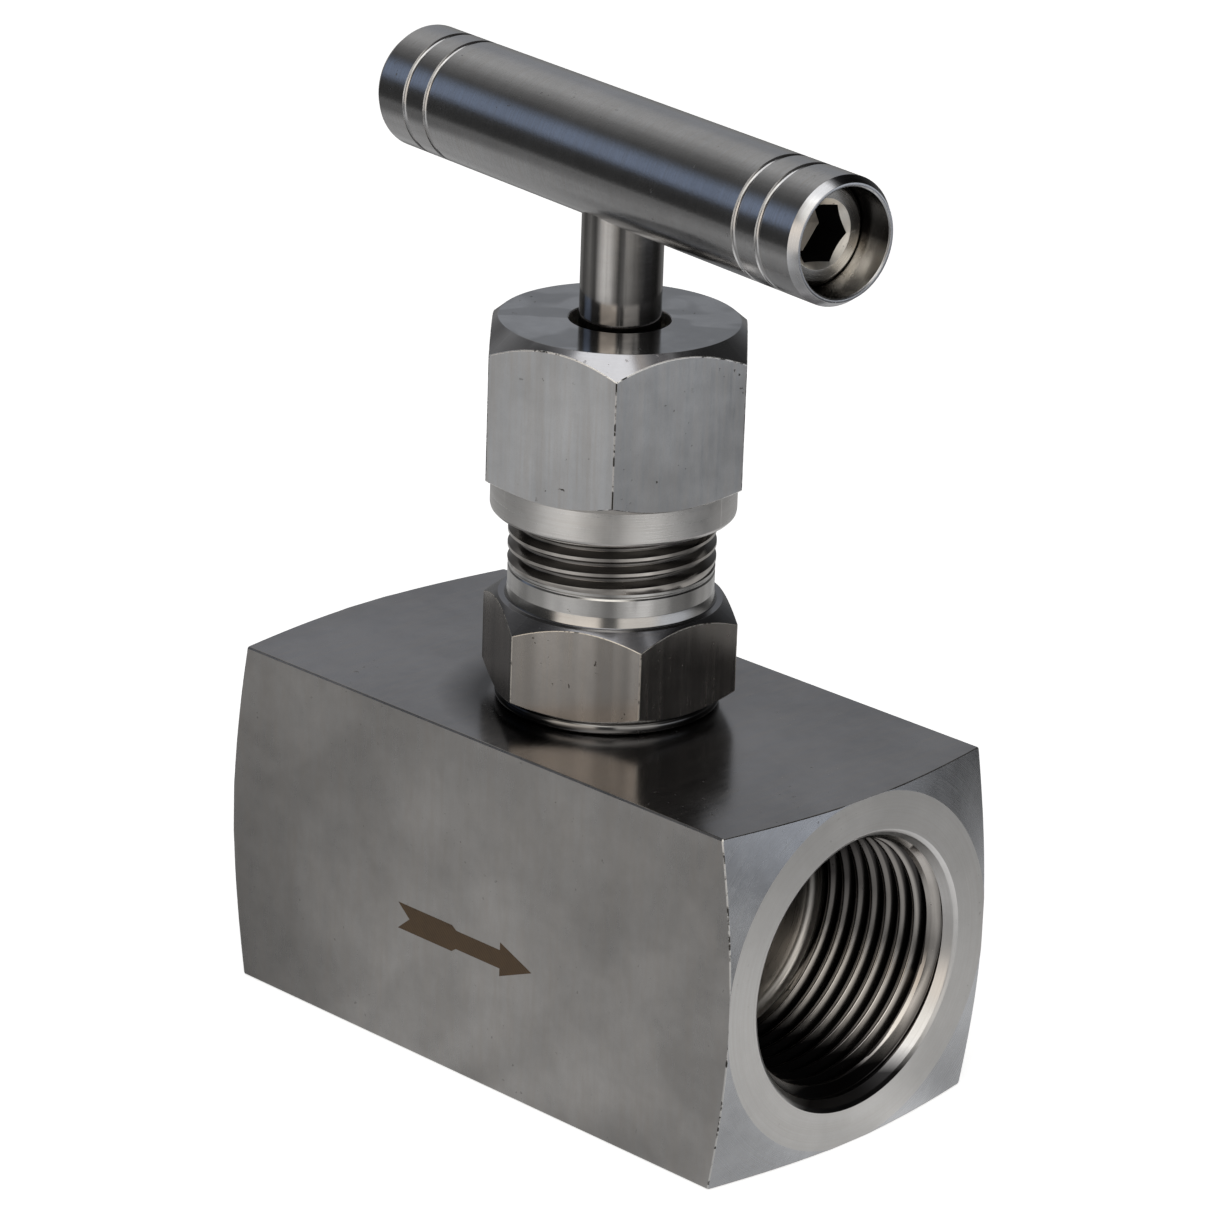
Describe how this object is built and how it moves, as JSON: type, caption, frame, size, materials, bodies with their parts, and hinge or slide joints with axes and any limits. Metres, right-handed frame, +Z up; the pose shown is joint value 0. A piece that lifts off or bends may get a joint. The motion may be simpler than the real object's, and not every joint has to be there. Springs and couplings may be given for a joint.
{
  "type": "needle valve",
  "caption": "Square bar-stock needle valve with two female pipe ports, screwed bonnet, packing nut and rising stem turned by a T-bar handle.",
  "frame": {"origin": "centre of the body's square bottom face, straight under the stem axis", "axes": "+X along the port axis towards the outlet, +Z up the stem towards the handle, -Y out of the side that carries the flow arrow"},
  "size_m": [0.068, 0.035, 0.0944],
  "materials": {
    "bar_steel": "satin machined",
    "bonnet_steel": "turned",
    "nut_steel": "satin machined",
    "polished_steel": "polished",
    "gasket_steel": "satin",
    "screw_steel": "polished",
    "needle_steel": "ground",
    "white_ptfe": "matt"
  },
  "bodies": {
    "valve_body": {"body": "bar_steel", "bonnet_gasket": "gasket_steel", "bonnet": "bonnet_steel", "packing_washer": "gasket_steel", "packing_bottom_adapter": "white_ptfe", "packing_ring_1": "white_ptfe", "packing_ring_2": "white_ptfe", "packing_ring_3": "white_ptfe", "packing_ring_4": "white_ptfe", "packing_top_adapter": "white_ptfe", "gland_follower": "nut_steel", "packing_nut": "nut_steel"},
    "needle_unit": {"needle": "needle_steel", "thrust_ball": "needle_steel", "needle_retaining_ring": "needle_steel"},
    "stem_unit": {"stem": "polished_steel", "handle_bar": "polished_steel", "handle_screw": "screw_steel"}
  },
  "joints": [
    {"name": "stem_lift", "type": "slide", "parent": "valve_body", "child": "needle_unit", "axis": [0, 0, 1], "range_m": [-0.003, 0.003]},
    {"name": "stem_turn", "type": "hinge", "parent": "needle_unit", "child": "stem_unit", "pos_m": [0, 0, 0.0883], "axis": [0, 0, 1], "range_deg": [-720, 720]}
  ],
  "couplings": [
    {"joint": "stem_lift", "follows": "stem_turn", "m_per_rad": 0.00023873}
  ]
}
